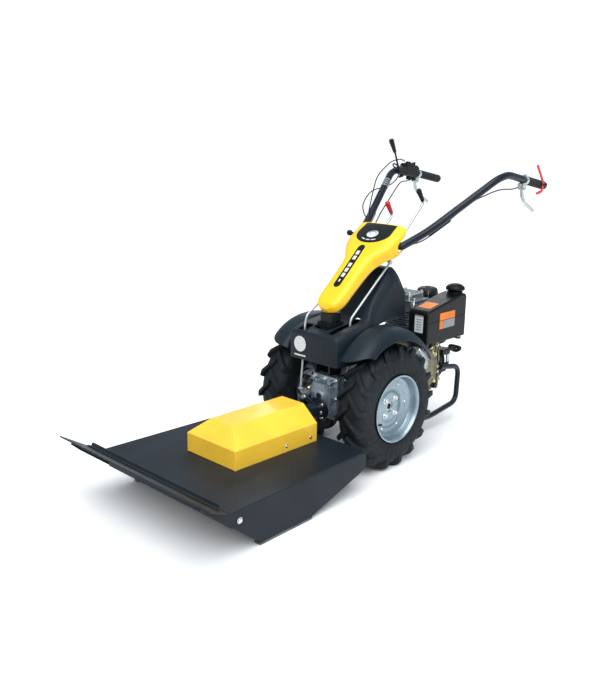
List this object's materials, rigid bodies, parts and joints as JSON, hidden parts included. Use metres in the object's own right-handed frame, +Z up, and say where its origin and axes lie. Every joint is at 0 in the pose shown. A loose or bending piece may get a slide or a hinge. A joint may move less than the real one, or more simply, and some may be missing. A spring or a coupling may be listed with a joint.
{
  "type": "walk-behind brush mower",
  "caption": "Two-wheeled walk-behind tractor with a rear engine, raised handlebar and a flared front brush-mower deck.",
  "frame": {"origin": "on the ground, under the middle of the whole machine's bounding box", "axes": "+X points forwards to the mower deck's lip, +Y to the machine's left, +Z up"},
  "size_m": [2.112, 0.85, 1.2914],
  "materials": {
    "deck_steel": "satin charcoal paint, worn at the edges",
    "cover_yellow": "glossy yellow paint",
    "cowl_yellow": "moulded yellow plastic, light gloss",
    "hood_black": "moulded black plastic",
    "fender_black": "satin black paint",
    "tyre_rubber": "black tyre rubber",
    "galvanised": "galvanised sheet steel",
    "bright_bolts": "bright zinc",
    "shaft_steel": "machined steel",
    "cast_aluminium": "cast aluminium",
    "crankcase_grey": "cast aluminium with an olive tint",
    "engine_black": "black engine paint",
    "muffler_steel": "heat-stained steel",
    "tank_black": "blow-moulded black plastic",
    "frame_black": "blue-black powder coat",
    "panel_black": "black plastic",
    "grip_rubber": "black rubber",
    "lever_silver": "plain aluminium",
    "red_plastic": "red plastic",
    "control_plastic": "black control plastic",
    "cable_sheath": "black cable sheath",
    "knife_steel": "hardened steel",
    "sole_steel": "worn bare steel"
  },
  "bodies": {
    "chassis": {"gearbox_housing": "cast_aluminium", "clutch_housing": "cast_aluminium", "column_mount": "frame_black", "pivot_pin": "bright_bolts", "hood": "hood_black", "left_fender": "fender_black", "right_fender": "fender_black", "crankcase": "crankcase_grey", "cylinder_barrel": "cast_aluminium", "cylinder_head": "cast_aluminium", "fan_housing": "engine_black", "fuel_tank": "tank_black", "air_cleaner": "panel_black", "muffler": "muffler_steel", "rear_bumper": "frame_black"},
    "left_wheel": {"left_tyre": "tyre_rubber", "left_rim": "galvanised", "left_axle": "shaft_steel", "left_wheel_bolts": "bright_bolts"},
    "right_wheel": {"right_tyre": "tyre_rubber", "right_rim": "galvanised", "right_axle": "shaft_steel", "right_wheel_bolts": "bright_bolts"},
    "crank": {"crankshaft": "shaft_steel"},
    "output": {"output_shaft": "shaft_steel"},
    "recoil": {"recoil_handle": "control_plastic"},
    "cap": {"fuel_cap": "tank_black"},
    "handlebar": {"column": "frame_black", "cowl": "cowl_yellow", "dash_panel": "panel_black", "left_handle": "frame_black", "right_handle": "frame_black", "grips": "grip_rubber", "control_box": "control_plastic", "lever_brackets": "lever_silver", "control_cables": "cable_sheath"},
    "left_lever": {"left_hand_lever": "lever_silver"},
    "right_lever": {"right_hand_lever": "lever_silver"},
    "stop": {"stop_lever": "red_plastic"},
    "gear": {"gear_lever": "control_plastic"},
    "throttle": {"throttle_lever": "control_plastic"},
    "red": {"red_lever": "red_plastic"},
    "black": {"black_lever": "control_plastic"},
    "left_rod": {"left_shift_rod": "bright_bolts"},
    "right_rod": {"right_shift_rod": "bright_bolts"},
    "lock": {"lock_knob": "control_plastic"},
    "deck": {"deck_plate": "deck_steel", "left_skirt": "deck_steel", "right_skirt": "deck_steel", "front_lip": "deck_steel", "deck_braces": "deck_steel", "skid_soles": "sole_steel", "gear_cover": "cover_yellow", "deck_bolts": "bright_bolts", "deck_gearbox": "cast_aluminium", "hitch_tube": "frame_black"},
    "input": {"input_shaft": "shaft_steel"},
    "rotor": {"rotor": "shaft_steel"},
    "left_knife": {"left_knife": "knife_steel"},
    "right_knife": {"right_knife": "knife_steel"}
  },
  "joints": [
    {"name": "left_wheel_spin", "type": "hinge", "parent": "chassis", "child": "left_wheel", "pos_m": [-0.04161, 0.215, 0.254], "axis": [0, 1, 0], "continuous": true},
    {"name": "right_wheel_spin", "type": "hinge", "parent": "chassis", "child": "right_wheel", "pos_m": [-0.04161, -0.215, 0.254], "axis": [0, 1, 0], "continuous": true},
    {"name": "crank_spin", "type": "hinge", "parent": "chassis", "child": "crank", "pos_m": [-0.44161, 0, 0.3], "axis": [1, 0, 0], "continuous": true},
    {"name": "output_spin", "type": "hinge", "parent": "chassis", "child": "output", "pos_m": [0.05839, 0, 0.222], "axis": [1, 0, 0], "continuous": true},
    {"name": "recoil_pull", "type": "slide", "parent": "chassis", "child": "recoil", "axis": [-1, 0, 0], "range_m": [0, 0.035], "stiffness_N_per_m": 60, "springref_m": -0.03},
    {"name": "cap_twist", "type": "hinge", "parent": "chassis", "child": "cap", "pos_m": [-0.59661, 0.15, 0.64], "axis": [0, 0, 1], "range_deg": [0, 90]},
    {"name": "handlebar_height", "type": "hinge", "parent": "chassis", "child": "handlebar", "pos_m": [0.07039, 0, 0.47], "axis": [0, 1, 0], "range_deg": [-2, 4]},
    {"name": "left_lever_squeeze", "type": "hinge", "parent": "handlebar", "child": "left_lever", "pos_m": [-0.85523, 0.29, 1.09079], "axis": [0, 1, 0], "range_deg": [0, 25], "stiffness_Nm_per_rad": 2, "springref_deg": -11.46},
    {"name": "right_lever_squeeze", "type": "hinge", "parent": "handlebar", "child": "right_lever", "pos_m": [-0.85523, -0.29, 1.09079], "axis": [0, 1, 0], "range_deg": [0, 25], "stiffness_Nm_per_rad": 2, "springref_deg": -11.46},
    {"name": "stop_press", "type": "hinge", "parent": "handlebar", "child": "stop", "pos_m": [-1.00731, 0.3145, 1.0996], "axis": [0, 1, 0], "range_deg": [0, 25], "stiffness_Nm_per_rad": 0.5, "springref_deg": -17.19},
    {"name": "gear_tilt", "type": "hinge", "parent": "handlebar", "child": "gear", "pos_m": [-0.69661, -0.262, 1.14], "axis": [0, 1, 0], "range_deg": [-12, 12]},
    {"name": "throttle_turn", "type": "hinge", "parent": "handlebar", "child": "throttle", "pos_m": [-0.79737, -0.29, 1.17457], "axis": [-0.18, 0, 0.9837], "range_deg": [-30, 30]},
    {"name": "red_tilt", "type": "hinge", "parent": "handlebar", "child": "red", "pos_m": [-0.24661, -0.058, 0.838], "axis": [0, 1, 0], "range_deg": [-12, 12]},
    {"name": "black_tilt", "type": "hinge", "parent": "handlebar", "child": "black", "pos_m": [-0.24661, 0.058, 0.838], "axis": [0, 1, 0], "range_deg": [-12, 12]},
    {"name": "right_rod_lift", "type": "slide", "parent": "handlebar", "child": "right_rod", "axis": [0, 0, 1], "range_m": [-0.008, 0.008]},
    {"name": "left_rod_lift", "type": "slide", "parent": "handlebar", "child": "left_rod", "axis": [0, 0, 1], "range_m": [-0.008, 0.008]},
    {"name": "lock_pull", "type": "slide", "parent": "handlebar", "child": "lock", "axis": [0, -1, 0], "range_m": [0, 0.012], "stiffness_N_per_m": 500, "springref_m": -0.004},
    {"name": "deck_float", "type": "hinge", "parent": "chassis", "child": "deck", "pos_m": [0.11839, 0, 0.222], "axis": [1, 0, 0], "range_deg": [-8, 8]},
    {"name": "rotor_spin", "type": "hinge", "parent": "deck", "child": "rotor", "pos_m": [0.55839, 0, 0.1], "axis": [0, 0, 1], "continuous": true},
    {"name": "input_spin", "type": "hinge", "parent": "deck", "child": "input", "pos_m": [0.25839, 0, 0.222], "axis": [1, 0, 0], "continuous": true},
    {"name": "left_knife_swing", "type": "hinge", "parent": "rotor", "child": "left_knife", "pos_m": [0.55839, 0.19, 0.069], "axis": [0, 0, 1], "range_deg": [-60, 60]},
    {"name": "right_knife_swing", "type": "hinge", "parent": "rotor", "child": "right_knife", "pos_m": [0.55839, -0.19, 0.069], "axis": [0, 0, 1], "range_deg": [-60, 60]}
  ],
  "couplings": [
    {"joint": "output_spin", "follows": "rotor_spin", "ratio": -1},
    {"joint": "input_spin", "follows": "rotor_spin", "ratio": -1},
    {"joint": "right_rod_lift", "follows": "red_tilt", "m_per_rad": -0.027},
    {"joint": "left_rod_lift", "follows": "black_tilt", "m_per_rad": -0.027}
  ]
}
